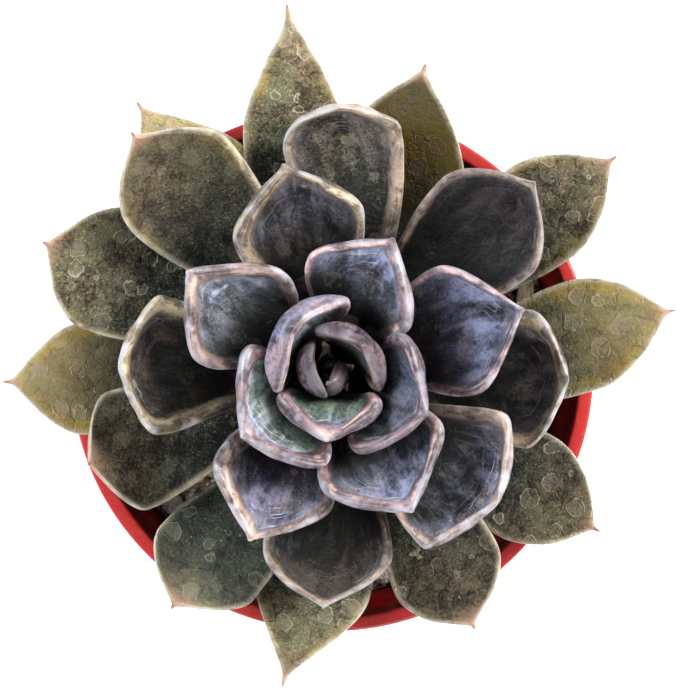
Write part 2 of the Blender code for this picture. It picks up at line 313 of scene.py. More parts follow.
leafPlan = {
    "rings": 92, "sides": 84,  # grid of each leaf
    "rimHeight": 85.0, "rootTop": 104.5, "rootPitch": 0.94,  # mm: the spiral of roots round the stem
    "stemTip": 1.2, "stemRadius": 6.0, "stemSwell": 14,
    "rootRise": 76, "lowRise": 4, "budRise": 85, "riseFall": 1.6, "spiralEnd": 34,
    "rootShare": 0.28, "rootHandle": 0.38, "tipHandle": 0.35,
    "thick": 5.0, "firstThick": 1.6, "budThick": 2.2, "thicken": 0.7, "rimBud": 0.5, "rimFull": 0.85, "rimThin": 0.4,
    "rimGrows": (1, 5), "rimThins": (12, 26), "cupOpens": (5, 23),  # from which leaf to which, counted from leaf 2
    "cupDeep": 0.5, "cupShallow": 0.2, "cupPower": 2.4, "rimPower": 0.66,
    "footSwell": 0.36, "footCap": 0.05, "tipClose": 0.38,  # thickness at the foot, lengths of its cap and of the tip
    "mucro": 1.1, "mucroWidth": 0.5,  # the little point at the tip, mm
    "bead": 0.12, "crease": 0.16, "lumps": 0.34, "dents": 0.07, "waves": 0.26,  # relief of the surface, mm
}

# number: root azimuth, tip azimuth, sweep, reach, height over the rim, tip rise, half width, widest, taper, roll,
# twist
leafForms = {
    1: (245, 245, 0, 1.2, 23, 90, 1.2, 0.45, 0.6, 0, 0),
    2: (107, 100, 0, 1.0, 24, 100, 1.6, 0.5, 0.6, 0, 0),
    3: (334, 244, 117, 2.3, 30, 125, 3.3, 0.58, 0.4, 0, 90),
    4: (202, 148, 70, 3.9, 33, 121, 5.3, 0.62, 0.4, 0, 37),
    5: (58, 42, -30, 7.0, 33, 112, 8.0, 0.62, 0.2, 0, 0),
    6: (269, 266, 0, 12.4, 31, 46, 9.1, 0.64, 0.3, 0, 0),
    7: (150, 128, 12, 10.0, 34.3, 117, 10.5, 0.62, 0.3, 0, 14),
    8: (344, 336, 0, 18.8, 31.2, 54, 11.1, 0.62, 0.2, 0, 5),
    9: (213, 216, 0, 19.8, 31, 52, 12.4, 0.64, 0.2, 0, -7),
    10: (74, 65, 0, 26.2, 30.6, 50, 10.9, 0.6, 0.5, -14, 0),
    11: (302, 300, 0, 28.9, 29, 58, 12, 0.6, 0.4, 0, 0),
    12: (149, 145, 0, 31.4, 29.5, 50, 11.1, 0.6, 0.4, -14, 0),
    13: (20, 18, 0, 36.2, 28, 45, 11.7, 0.64, 0.3, 0, 0),
    14: (233, 244, 0, 33.6, 27.5, 52, 11.3, 0.64, 0.3, 0, 0),
    15: (101, 103, 0, 38.2, 27, 55, 11.9, 0.66, 0.3, 0, 0),
    16: (310, 322, 0, 37.7, 25.5, 92, 13.9, 0.72, 0, 4, 0),
    17: (179, 178, 0, 38.2, 24.5, 85, 12.4, 0.72, 0, 0, 0),
    18: (44, 43, 0, 50.2, 23.5, 62, 11.9, 0.69, 0, 0, 0),
    19: (273, 268, 0, 43, 20.5, 60, 11.8, 0.7, 0, 0, 0),
    20: (122, 130, 0, 56.9, 19.5, 45, 12.2, 0.74, 0, 0, 0),
    21: (355, 358, 0, 43.2, 19.5, 80, 12.8, 0.72, 0, 0, 0),
    22: (206, 201, 0, 47.9, 17, 75, 11.6, 0.75, 0, 0, 0),
    23: (64, 88, 42, 47.8, 20.5, 108, 11, 0.71, 0, 11, 0),
    24: (308, 299, 0, 54.9, 12, 45, 10.6, 0.74, 0, 0, 0),
    25: (153, 156, 0, 58.7, 13.5, 40, 12, 0.75, 0, 0, 0),
    26: (352, 10, 0, 64.8, 12, 20, 10.5, 0.71, 0.1, 0, 0),
    27: (250, 236, 0, 53.2, 13, 45, 11.2, 0.76, 0, 0, 0),
    28: (110, 97, 0, 68.3, 14.5, 20, 9.3, 0.64, 0.6, 0, 0),
    29: (330, 329, 0, 58.5, 9, 30, 10.7, 0.7, 0, 0, 0),
    30: (182, 182, 0, 61.9, 7, 15, 10.4, 0.75, 0.4, 0, 0),
    31: (38, 37, 0, 66.5, 11, 20, 10.2, 0.72, 0.1, 0, 0),
    32: (273, 261, -8, 60.4, 6.4, 16, 11.2, 0.64, 0.6, 0, 0),
    33: (122, 126, 0, 62.4, 8, 10, 11, 0.66, 0.4, 0, 0),
    34: (66, 73, 0, 60.3, 8, 10, 12.6, 0.64, 0.3, 0, 0),
}

# number: olive over dark purple, blue bloom, green foot or golden edge with painted glow, pale margin in mm on the
# left and on the right when looking outwards, its strength, lightness of the face (its own tone with painted shade
# and light for where the leaf sits), cream over rose in the margin, satin over speckle
leafFinishes = {
    1: (0, 0.2, 0.3, 0.4, 0.4, 0.5, 0.4, 0, 0), 2: (0, 0.2, 0.3, 0.6, 0.6, 0.5, 0.4, 0, 0),
    3: (0, 0.3, 0.1, 2.6, 2.6, 0.6, 0.4, 0, 0), 4: (0, 0.3, 0.1, 3, 3, 0.6, 0.44, 0, 0),
    5: (0, 0.3, 0.4, 2.8, 2.4, 0.7, 0.62, 0, 0), 6: (0, 0.4, 1, 2.2, 2.6, 0.9, 1.3, 0, 0),
    7: (0, 0.9, 0.2, 2.4, 2.4, 0.8, 1, 0.1, 0), 8: (0, 1, 0.3, 2, 2, 0.8, 0.75, 0, 0),
    9: (0, 0.6, 0.7, 2.8, 2.8, 1, 2.3, 0.1, 0), 10: (0, 1, 0.1, 1.4, 2.8, 0.9, 1.4, 0.1, 0),
    11: (0, 0.7, 0.1, 2.4, 2.6, 0.9, 1.3, 0.1, 0), 12: (0, 0.7, 0.2, 2.8, 2.6, 1, 1.6, 0.3, 0),
    13: (0, 1, 0, 1.4, 1.6, 0.9, 0.95, 0, 0), 14: (0, 0.5, 0, 2, 3.8, 1, 1.4, 0.3, 0),
    15: (0.1, 0.4, 0.1, 3.2, 1.8, 0.9, 0.75, 0.8, 0), 16: (0.1, 0.4, 0.1, 2.8, 1.8, 0.9, 2.2, 0.4, 0),
    17: (0.1, 0.1, 0.1, 3.2, 3.2, 1, 0.5, 1, 0), 18: (0.15, 0, 0.1, 1.8, 1.5, 0.5, 0.3, 0.4, 0),
    19: (0.2, 0, 0.1, 1.6, 2, 0.7, 0.38, 0.6, 0), 20: (0.85, 0.1, 0.5, 0.9, 1.5, 0.7, 0.5, 1, 0.3),
    21: (0.2, 0.2, 0.1, 3.4, 3, 1, 0.6, 0.8, 0), 22: (0.7, 0.1, 0.1, 1, 1, 0.6, 0.5, 1, 0),
    23: (0.3, 0.1, 0.1, 1.8, 3, 0.9, 1.4, 0.6, 0), 24: (0.8, 0.1, 0.1, 0.7, 0.7, 0.5, 0.38, 1, 0),
    25: (0.95, 0.1, 0.3, 0.8, 0.8, 0.5, 0.62, 1, 0), 26: (1, 0.3, 0.8, 0.8, 0.8, 0.5, 0.9, 1, 0.7),
    27: (0.85, 0.9, 0.2, 0.8, 0.8, 0.5, 0.9, 1, 0.6), 28: (1, 0.1, 0.4, 0.7, 0.7, 0.5, 1, 1, 0.2),
    29: (0.9, 0.4, 0.2, 0.8, 0.8, 0.5, 0.65, 1, 0.2), 30: (1, 0.3, 0.8, 0.7, 0.7, 0.5, 1.15, 1, 0.8),
    31: (1, 0.2, 0.5, 0.8, 0.8, 0.5, 0.58, 1, 0), 32: (1, 0.2, 0.4, 0.7, 0.7, 0.5, 0.7, 1, 0.2),
    33: (1, 0, 0.5, 0.7, 0.7, 0.5, 1.8, 1, 0.8), 34: (1, 0, 1.5, 0.7, 0.7, 0.5, 0.25, 1, 0.9),
}


def leafMidrib(order, form, u):
    # cubic Bezier from root to tip; side is level and across the leaf, face is along x side, both rolled
    plan = leafPlan
    root, tip, sweep, reach, height, tipRise, _, _, _, roll, twist = form
    grown = min(1.0, max(0, order) / plan["stemSwell"])
    rootRadius = plan["stemTip"] + (plan["stemRadius"] - plan["stemTip"]) * grown**0.7
    fall = max(0.0, 1 - order / plan["spiralEnd"])
    rise = max(plan["lowRise"], plan["rootRise"] * fall ** plan["riseFall"]) if order > 0 else plan["budRise"]
    start = heading(root) * rootRadius + [0, 0, plan["rootTop"] - plan["rootPitch"] * order]
    end = heading(tip) * reach + [0, 0, plan["rimHeight"] + height]
    chord = np.linalg.norm(end - start)
    first = start + heading(root, rise) * chord * plan["rootHandle"]
    last = end - heading(tip + sweep, tipRise) * chord * plan["tipHandle"]
    u = u[:, None]
    v = 1 - u
    point = v**3 * start + 3 * v * v * u * first + 3 * v * u * u * last + u**3 * end
    along = unit(v * v * (first - start) + 2 * v * u * (last - first) + u * u * (end - last))
    turn = (tip + twist - root + 180) % 360 - 180
    azimuth = np.radians(root + turn * u)
    side = np.concatenate((-np.sin(azimuth), np.cos(azimuth), np.zeros_like(u)), axis=1)
    side = unit(side - np.sum(side * along, axis=1, keepdims=True) * along)
    face = np.cross(along, side)
    tilt = math.radians(roll) * smoothStep(u, 0, 0.6)
    return point, side * np.cos(tilt) + face * np.sin(tilt), face * np.cos(tilt) - side * np.sin(tilt)


def leafWidth(form, olive, u, length):
    # half width: narrow foot, belly at the widest point, tip that ends in a small point; round cap at the foot
    plan = leafPlan
    halfWidth, widest, taper = form[6:9]
    mucro = plan["mucro"] * (0.2 + 0.8 * olive) / length
    lower = plan["rootShare"] + (1 - plan["rootShare"]) * np.sin(np.pi / 2 * np.minimum(u / widest, 1)) ** 1.8
    x = np.clip((1 - mucro - u) / (1 - mucro - widest), 0, 1)
    blunt = np.sin(np.pi / 2 * x) ** (0.75 + 0.25 * smoothStep(1 - x, 0.6, 1.0))
    upper = (1 - taper) * blunt + taper * smoothStep(x)
    point = plan["mucroWidth"] / halfWidth * np.clip((1 - u) / (1.6 * mucro), 0, 1) ** 0.8
    return halfWidth * np.where(u < widest, lower, np.maximum(upper, point)) * footCap(u)


def footCap(u):
    # quarter circle over the first part of the leaf
    return np.sqrt(np.clip(1 - (1 - np.minimum(u / leafPlan["footCap"], 1)) ** 2, 0, 1))


def leafSurface(number):
    # section at each ring: superellipse of half width w and depth d, bent up by cup * w * |across|^2.4; the relief is
    # added along the normal. Attributes for the material: edge, the way to the edge; flow, across, along and the
    # leaf's number; tone, olive, bloom and leafy; rim, margin, its strength and the way to the tip; shade, light (the
    # face's own tone with painted shade and light), cream and satin; along, 0 at the foot to 1 at the tip
    plan = leafPlan
    order = number - 2
    form = leafForms[number]
    olive, bloom, leafy, marginLeft, marginRight, strength, light, cream, satin = leafFinishes[number]
    u = (1 - np.cos(np.pi * np.linspace(0, 1, plan["rings"]))) / 2
    angle = 2 * np.pi * np.arange(plan["sides"]) / plan["sides"]
    point, side, face = leafMidrib(order, form, u)
    reach = np.concatenate(([0], np.cumsum(np.linalg.norm(np.diff(point, axis=0), axis=1))))
    length = reach[-1]
    across = np.cos(angle)
    upward = np.sign(np.sin(angle)) * (1 - np.abs(across) ** (2 / plan["rimPower"])) ** (plan["rimPower"] / 2)
    thick = min(plan["thick"], plan["budThick"] + plan["thicken"] * max(0, order))
    thick = thick if order > 0 else plan["firstThick"]
    rimShare = plan["rimBud"] + (plan["rimFull"] - plan["rimBud"]) * smoothStep(order, *plan["rimGrows"])
    rim = thick * (rimShare + (plan["rimThin"] - plan["rimFull"]) * smoothStep(order, *plan["rimThins"]))
    cupTop = plan["cupDeep"] + (plan["cupShallow"] - plan["cupDeep"]) * smoothStep(order, *plan["cupOpens"])
    width = leafWidth(form, olive, u, length)[:, None]
    cup = cupTop * smoothStep(u, 0, 0.5)[:, None]
    closing = np.sin(np.pi / 2 * np.minimum(1, (1 - u) / plan["tipClose"])) ** 0.8
    swell = plan["footSwell"] + (1 - plan["footSwell"]) * smoothStep(u, 0, 0.8)
    swell = (swell * closing * footCap(u))[:, None]
    slope = cup * plan["cupPower"] * np.abs(across) ** (plan["cupPower"] - 1) * np.sign(across)
    lean = np.sqrt(1 + slope * slope)
    offset = upward * (rim + (thick - rim) * (1 - across * across)) * swell / 2
    x = width * across - slope / lean * offset
    y = cup * width * np.abs(across) ** plan["cupPower"] + offset / lean
    rings = point[:, None] + side[:, None] * x[..., None] + face[:, None] * y[..., None]
    edge = edgeDistance(rings, upward, length - reach)
    flow = np.stack(np.broadcast_arrays(across * width, reach[:, None], 10.0 * number), -1)
    margin = marginRight + (marginLeft - marginRight) * smoothStep(across, -0.5, 0.5) + 0 * edge
    relief = leafRelief(olive, form[6], number, u, edge, flow, margin) * strength
    rings = rings + leafNormals(rings) * relief[..., None]
    gap = np.broadcast_to((length - reach)[:, None], edge.shape)
    return rings * mm, {
        "edge": edge * mm, "flow": flow * mm, "along": np.broadcast_to(u[:, None], edge.shape),
        "tone": np.broadcast_to(np.array([olive, bloom, leafy]), rings.shape),
        "rim": np.stack((margin * mm, np.full(edge.shape, strength), gap * mm), -1),
        "shade": np.broadcast_to(np.array([light, cream, satin]), rings.shape),
    }


def edgeDistance(rings, upward, tipGap):
    # way over the surface to the leaf's edge, + on the upper face and - on the lower one; near the tip it is
    # rounded in with the way to the tip: (a^-3 + b^-3)^(-1/3)
    steps = np.linalg.norm(np.roll(rings, -1, axis=1) - rings, axis=2)
    travel = np.concatenate((np.zeros((len(rings), 1)), np.cumsum(steps, axis=1)), axis=1)
    half = rings.shape[1] // 2
    turnLength = travel[:, -1:]
    left = travel[:, half:half + 1]
    travel = travel[:, :-1]
    near = np.minimum(np.minimum(travel, turnLength - travel), np.abs(travel - left))
    gap = np.maximum(tipGap, 1e-4)[:, None]
    rounded = (np.maximum(near, 1e-4) ** -3.0 + gap**-3.0) ** (-1 / 3)
    return np.where(upward >= 0, rounded, -rounded)


def leafNormals(rings):
    # outward normal from the cross product of the differences along and round the leaf
    lengthwise = np.gradient(rings, axis=0)
    around = np.roll(rings, -1, axis=1) - np.roll(rings, 1, axis=1)
    return unit(np.cross(around, lengthwise))


def leafRelief(olive, halfWidth, number, u, edge, flow, margin):
    # mm along the normal: a bead inside the edge with a crease behind it, long lumps, small dents, a waved rim
    plan = leafPlan
    fade = smoothStep(u, 0.05, 0.3)[:, None] * smoothStep(1 - u, 0.0, 0.05)[:, None]
    fleshy = (1 - 0.75 * olive) * min(1.0, halfWidth / 9)
    wander = 0.35 * roughNoise(flow * [0.15, 0.15, 1], 5 * number, 2)
    bead = plan["bead"] * hump(edge, 0.45 * margin, 0.6 * margin)
    bead = bead - plan["crease"] * hump(edge, 1.3 * margin + wander, 0.9)
    lumps = plan["lumps"] * roughNoise(flow * [0.28, 0.09, 1], 40 + number, 2) * smoothStep(np.abs(edge), 0.2, 2.5)
    dents = plan["dents"] * roughNoise(flow * [0.5, 0.35, 1], 80 + number, 2)
    waves = plan["waves"] * roughNoise(flow * [0.05, 0.16, 1], 120 + number, 2) * hump(edge, 0, 1.4)
    return fade * (fleshy * bead + (0.35 + 0.65 * fleshy) * lumps + dents + waves)


# spots: water marks; mosaic: small patches and cracks; fold: painted crease shade and a painted glint line along the
# margin; dimRim: a dark leaf has a dark margin too, darkened with the face's lightness and its painted shade
leafLooks = {
    "leaf_inner": {"roughness": 0.44, "spots": 0.0, "mosaic": 0.0, "fold": 0.6, "dimRim": True},
    "leaf_middle": {"roughness": 0.48, "spots": 0.06, "mosaic": 0.4, "fold": 0.3, "dimRim": False},
    "leaf_outer": {"roughness": 0.55, "spots": 1.0, "mosaic": 1.0, "fold": 0.0, "dimRim": False},
}

leafTones = linearTones({
    "footShade": (11, 8, 8),  # foot of the cupped leaves: painted shade over their own dark colour
    "purple": ((20, 16, 24), (74, 68, 84)),  # inside of the inner cupped leaves, dark and light
    "umber": ((17, 11, 7), (88, 66, 50)),  # inside of the next ones out
    "hair": (122, 112, 102),
    "bloom": ((44, 48, 74), (122, 130, 160)),  # blue wax over it
    # slate: the pale band of painted light inside the margin
    "slate": (112, 116, 136),
    # thin pale streaks of painted sheen along the margin
    "wisp": (156, 162, 176),
    "moss": ((42, 58, 48), (112, 126, 110)),  # foot of the inner leaves
    "earth": ((40, 33, 22), (144, 127, 100)),  # lower leaves: brown, green, ochre edge with painted glow through it, and painted shade at the foot
    "green": ((38, 37, 24), (130, 125, 94)),
    "ochre": ((64, 50, 8), (164, 138, 52)),
    "shade": ((15, 21, 18), (78, 94, 86)),
    "line": (196, 190, 164),
    "brown": (28, 20, 14),
    "skin": ((60, 44, 50), (156, 132, 140)),  # margins of the cupped leaves
    "straw": ((88, 78, 60), (186, 172, 140)),  # margins of the lower leaves
    # pale outer strip of the margin: partly its own pale edge colour, partly painted sheen
    "paleEdgeSheen": (186, 184, 200),
    # rose, apricot and cream: painted highlights on the margin
    "rose": (222, 182, 180),
    "apricot": (220, 188, 158),
    "cream": (220, 206, 170),
    # outline: pale edge line, partly painted rim highlight, and the painted glint line inside the margin
    "outline": (190, 188, 184),
    # dark reddish line of painted shade in the crease inside the margin
    "creaseShade": (58, 28, 26),
    "tip": (170, 128, 110),
    "point": (140, 92, 84),
})


def leafMaterial(name):
    # dark purple or olive face with bloom, wisps of painted sheen, water marks and painted shade at the foot; margin
    # by the way from the edge, with painted highlights, painted glint and painted crease shade; pink tip; a thin
    # coat makes the margin and the marks look wet
    look = leafLooks[name]
    tones = leafTones
    s = newShader(name)
    place = s.place()
    flow = s.attribute("flow", "Vector")
    edge = s.attribute("edge")
    along = s.attribute("along")
    light, cream, satin = s.split(s.attribute("shade", "Vector"))
    margin, strength, tipGap = s.split(s.attribute("rim", "Vector"))
    olive, bloom, leafy = s.split(s.attribute("tone", "Vector"))
    _, lengthwise, number = s.split(flow)
    outward = along.step(0.4, 0.92)
    oliveOnly = olive.step(0.1, 0.6)

    cloud = s.noise(place, 9, 3, 0.55)
    patch = s.noise(place, 5, 2, 0.5)
    blotch = s.noise(place, 3.2, 3, 0.6)
    grain = s.noise(place, 0.7, 4, 0.7)
    fine = s.noise(place, 0.42, 3, 0.75)
    long = s.noise(s.scaled(flow, 1.0, 0.4, 1.0), 3, 3, 0.6, distortion=0.4)
    contour = s.node("CombineXYZ", inputs={0: edge, 1: lengthwise * 0.16, 2: number})
    contour = s.shifted(contour, s.noise(place, 5, 1, output="Color"), 1.8 * mm)
    streak = s.noise(contour, 1.4, 5, 0.72)
    thread = s.noise(contour, 2.2, 2, 0.5)
    band = s.noise(s.scaled(flow, 0.6, 0.35, 1.0), 2.6, 3, 0.6)
    weave = long * 0.5 + grain * 0.5

    # way in from the edge, wavering, and the share of the margin in the face
    depth = edge + (streak - 0.5) * 3.6 * mm + (band - 0.5) * 3.2 * mm
    inside = (margin - depth).step(-0.5 * mm, 0.5 * mm)
    outside = (depth + 2 * mm).step(-0.8 * mm, 0.8 * mm)
    rimShare = inside * outside * strength * along.step(0.2, 0.55)
    beyond = depth - margin

    # cupped leaves: slate further out, with drifts of wax, a pale band of painted light inside the margin, fine
    # hairs, wisps of painted sheen that follow the margin, some green and a nearly black foot of painted shade over
    # its own dark colour
    lift = outward * 0.4 + (long - 0.5) * 2.0 + (cloud - 0.5) * 1.6 + (fine - 0.5) * 1.2 + (streak - 0.5) * 0.8
    waxed = s.mix(weave.step(0.36, 0.62), *tones["bloom"])
    # a pale band of painted light where the face rises to the margin
    hem = beyond.fall(0.0, 2.8 * mm) * outward * (blotch * 0.5 + streak * 0.5).step(0.36, 0.58)
    # thin pale streaks of painted sheen along the margin
    wisp = (thread - 0.5).near(0.0, 0.035) * beyond.step(0.0, 1 * mm) * beyond.fall(2.5 * mm, 7 * mm)
    dark = s.layers(
        s.mix(lift.step(0.15, 0.85), *[s.mix(cream, tones["purple"][end], tones["umber"][end]) for end in (0, 1)]),
        (bloom * outward * (cloud * 0.45 + long * 0.55).step(0.34, 0.62), waxed),
        (hem * 0.55, s.mix(cream, tones["slate"], tones["hair"])),
        (streak.step(0.5, 0.6) * fine.step(0.44, 0.56) * outward * 0.5, tones["hair"]),
        (wisp * band.step(0.45, 0.6) * outward * strength * 0.6, tones["wisp"]),
        (leafy * along.fall(0.6, 0.97) * 0.9, s.mix(weave.step(0.36, 0.64), *tones["moss"])),
        # painted shade: a near black foot, over the leaf's own darker colour
        (along.step(0.34, 0.7, 0.97, 0.0), s.mix(leafy * 0.4, tones["footShade"], tones["moss"][0])),
    )

    # lower leaves: brown and green patches, ochre near the edge (partly the leaf's own gold, partly painted glow of
    # light through the thin edge) and painted shade at the foot, all with fine speckle, rounded water marks with pale
    # rims and fine cracks
    pushed = s.shifted(place, s.noise(place, 1.8, 1, output="Color"), 1.5 * mm)
    tile = s.lot(pushed, 2.3)
    seam = s.cells(pushed, 2.3, feature="DISTANCE_TO_EDGE")
    crack = seam.fall(0.0, 0.08) * blotch.fall(0.42, 0.56)
    dropDepth = s.lot(pushed, 4.2).step(0.1, 0.85, 0.0, 0.43) - s.cells(pushed, 4.2)
    drop = dropDepth.step(-0.02, 0.03)
    dropRim = dropDepth.near(0.01, 0.045)
    value = cloud * 0.2 + blotch * 0.15 + grain * 0.35 + fine * 0.3 + (tile - 0.5) * 0.07 + drop * 0.06
    # painted glow of light through the thin edge, with the leaf's own gold from leafy
    glow = edge.near(0.6 * mm, 4 * mm) * (cloud * 0.5 + leafy * 0.3).step(0.22, 0.5)
    glow = (glow + (leafy - 0.5) * (cloud + 0.4) * 1.5).least(1.0).most(0.0) * along.step(0.72, 0.98, 1.0, 0.3)
    coarse = 1 - satin * 0.9
    value = ((value - 0.5) * coarse + 0.5 + (along - 0.75) * 0.16 + glow * 0.05).step(0.385, 0.635)
    # painted shade at the foot of the lower leaves
    foot = (along - bloom * 0.3).fall(0.4, 0.82) * blotch.step(0.3, 0.6, 1.0, 0.7)
    coats = ((cloud.step(0.4, 0.6), "green"), (glow * 0.9, "ochre"), (foot, "shade"))
    ends = [s.layers(tones["earth"][end], *[(mask, tones[key][end]) for mask, key in coats]) for end in (0, 1)]
    green = s.layers(
        s.mix(value, *ends),
        (fine.step(0.56, 0.67) * blotch.step(0.42, 0.6, 0.1, 0.6) * coarse, tones["line"]),
        (crack * coarse * 0.6, tones["brown"]),
    )

    share = (olive + (tile - 0.5) * 0.4 * look["mosaic"] + (cloud - 0.5) * 0.4 * olive.step(0.0, 0.2)).step(0.1, 0.8)
    ringed = dropRim * coarse * (blotch * 0.6 + grain * 0.4).step(0.4, 0.54)
    filled = drop * (grain * 0.5 + cloud * 0.5).step(0.42, 0.56)
    speck = s.cells(place, 0.8).fall(0.08, 0.24) * s.lot(place, 0.8, 1).step(0.84, 0.92)
    face = s.layers(
        s.mix(share, dark, green),
        (ringed * 0.75 * look["spots"], tones["line"]),
        (filled * oliveOnly.step(0.0, 1.0, 0.14, 0.38), tones["hair"]),
        (speck * cloud.step(0.42, 0.56) * 0.85 * look["spots"], tones["line"]),
    )

    # underside: bluish where there is bloom, mauve on the bud, olive grey elsewhere
    below = s.layers(
        s.mix(weave.step(0.38, 0.6), *tones["skin"]),
        (bloom * patch.step(0.3, 0.66) * 0.9, waxed),
        (oliveOnly, s.mix(blotch.step(0.35, 0.65), *tones["green"])),
    )
    # the face scaled by its lightness: its own tone, with painted shade and light for where the leaf sits
    face = s.mix(edge.fall(-3 * mm, -1 * mm), s.times(face, light), below)

    # margin: pale outer strip, partly painted sheen, then painted warm highlights in places, muted skin that fades
    # into the face; along its inner side a dark line of painted crease shade and a pale line of painted glint, and a
    # pale outline, partly painted rim highlight; the tip is pink
    tint = (streak * 0.5 + band * 0.4 + grain * 0.1).step(0.41, 0.62)
    way = depth / margin
    # pale outer strip: partly its own pale edge colour, partly painted sheen
    paleEdgeSheen = way.fall(0.0, 0.5) * (patch * 0.6 + blotch * 0.4).step(0.44, 0.6)
    # painted highlights in places on the margin
    lights = (way - 0.45).near(0.0, 0.5) * (cloud * 0.5 + blotch * 0.5).step(0.46, 0.6)
    lights = lights * (grain * 0.3 + streak * 0.7).step(0.39, 0.52, 0.3, 1.0)
    warm = s.mix(blotch.step(0.42, 0.58) * bloom.step(0.0, 1.0, 1.0, 0.3), tones["rose"], tones["apricot"])
    skin = s.layers(
        s.mix(tint, *tones["skin"]),
        (cream * 0.9, s.mix(tint, *tones["straw"])),
        (lights * 0.9, s.mix(cream, warm, tones["cream"])),
        (paleEdgeSheen * 0.6, s.mix(oliveOnly, tones["paleEdgeSheen"], tones["line"])),
    )
    groove = depth - margin * 1.05
    fold = strength * outward * look["fold"]
    # halo and outline: pale edge bands, partly the pale edge colour and partly painted rim highlight
    halo = edge.near(0.3 * mm, 1.6 * mm) * patch.step(0.36, 0.56, 0.4, 1.0)
    outline = edge.near(0.1 * mm, 0.45 * mm) * blotch.step(0.4, 0.56, 0.3, 1.0)
    color = s.layers(
        face,
        (rimShare * streak.step(0.3, 0.5, 0.75, 1.0), skin),
        # painted shade: a dark reddish line in the crease at the margin's inner side
        (groove.near(0.05 * mm, 0.4 * mm) * blotch.step(0.48, 0.6) * fold, tones["creaseShade"]),
        # painted glint: a pale line just inside that crease
        ((groove - 0.5 * mm).near(0.05 * mm, 0.3 * mm) * patch.step(0.5, 0.62) * fold, tones["outline"]),
        (halo * oliveOnly * 0.32, tones["line"]),
        (outline * along.step(0.2, 0.5) * oliveOnly.step(0.0, 1.0, 0.25, 0.5), tones["outline"]),
    )
    # the margin of the inner leaves darkened with the face's lightness, painted shade included
    if look["dimRim"]:
        color = s.times(color, light.least(1.0))
    oliveTip = olive.step(0.2, 0.8)
    color = s.layers(
        color,
        (tipGap.step(1 * mm, 5 * mm, 0.5, 0.0) * oliveTip, tones["tip"]),
        (tipGap.step(0.4 * mm, 1.6 * mm, 0.9, 0.0) * oliveTip, tones["point"]),
    )

    rough = look["roughness"] + (grain - 0.5) * 0.3 - rimShare * 0.12
    height = grain * 0.08 + fine * 0.04 + long * 0.16 + blotch * 0.12
    height = height + (dropRim * 0.06 * look["spots"] - crack * 0.05 * look["mosaic"])
    wet = rimShare * 0.35 + drop * 0.12 * look["spots"]
    return s.surface(
        color, rough, height, 2.4, Coat_Weight=wet, Coat_Roughness=0.25, Specular_IOR_Level=0.16,
    )


def makeLeaves():
    materials = {name: leafMaterial(name) for name in leafLooks}
    for number in leafForms:
        slot = "leaf_inner" if number <= 9 else "leaf_middle" if number <= 23 else "leaf_outer"
        rings, attributes = leafSurface(number)
        node = f"leaf_{number:02d}"
        mesh = meshFromRings(f"fine_{node}", rings, attributes)
        addPiece(f"fine_{node}", mesh, materials[slot], slot, node)
    print("leaves made:", len(leafForms))


# Pot

potPlan = {
    "rim": 50.0, "height": 85.0, "wall": 1.8, "lip": 2.9, "collar": 75.0, "collarStep": 2.6,  # mm
    "base": 37.4, "floor": 3.2, "recess": 1.2, "recessInner": 13.7, "recessOuter": 29.8,
    "drains": 8, "drainCircle": 22.0, "drain": 3.2, "drainSteps": 40, "steps": 192,
}

potTones = linearTones({
    # lip: painted light on the top of the lip; inside: deeper red, painted shade inside the pot
    "wall": ((134, 22, 21), (146, 27, 26)), "lip": (168, 40, 38), "inside": (136, 8, 8),
    "scratch": (232, 120, 112), "nick": (226, 140, 130),
    "lime": (186, 140, 118), "soil": (70, 30, 22),
})


def wallInside(z):
    # inner radius of the tapered wall: base + slope * z - wall
    plan = potPlan
    return plan["base"] + (plan["rim"] - plan["collarStep"] - plan["base"]) / plan["collar"] * z - plan["wall"]


def roundedProfile(corners, bend=6):
    # every corner (r, z, radius) becomes the quadratic Bezier from radius before it to radius after it
    points = np.array([c[:2] for c in corners], float)
    t = np.linspace(0, 1, bend + 1)[:, None]
    made = [points[:1]]
    for i in range(1, len(corners) - 1):
        before = points[i] + unit(points[i - 1] - points[i]) * corners[i][2]
        after = points[i] + unit(points[i + 1] - points[i]) * corners[i][2]
        made.append((1 - t) ** 2 * before + 2 * t * (1 - t) * points[i] + t * t * after)
    made.append(points[-1:])
    return np.concatenate(made)


def turned(profile, steps):
    # profile (r, z) spun round the Z axis: (r cos a, r sin a, z); it runs up the outside and down the inside
    angle = 2 * np.pi * np.arange(steps) / steps
    r = profile[:, :1]
    z = profile[:, 1:] + 0 * angle
    return np.stack((r * np.cos(angle), r * np.sin(angle), z), -1)


def cutAway(mesh, cutter):
    # the mesh with the cutter's volume taken off it, and its edges over 40 degrees kept sharp
    body = newObject("body", mesh)
    tool = newObject("tool", cutter)
    modifier = body.modifiers.new("cut", "BOOLEAN")
    modifier.operation = "DIFFERENCE"
    modifier.solver = "EXACT"
    modifier.object = tool
    bpy.context.view_layer.update()
    done = bpy.data.meshes.new_from_object(body.evaluated_get(bpy.context.evaluated_depsgraph_get()))
    for thing in (body, tool):
        bpy.data.objects.remove(thing)
    done.set_sharp_from_angle(angle=math.radians(40))
    return done


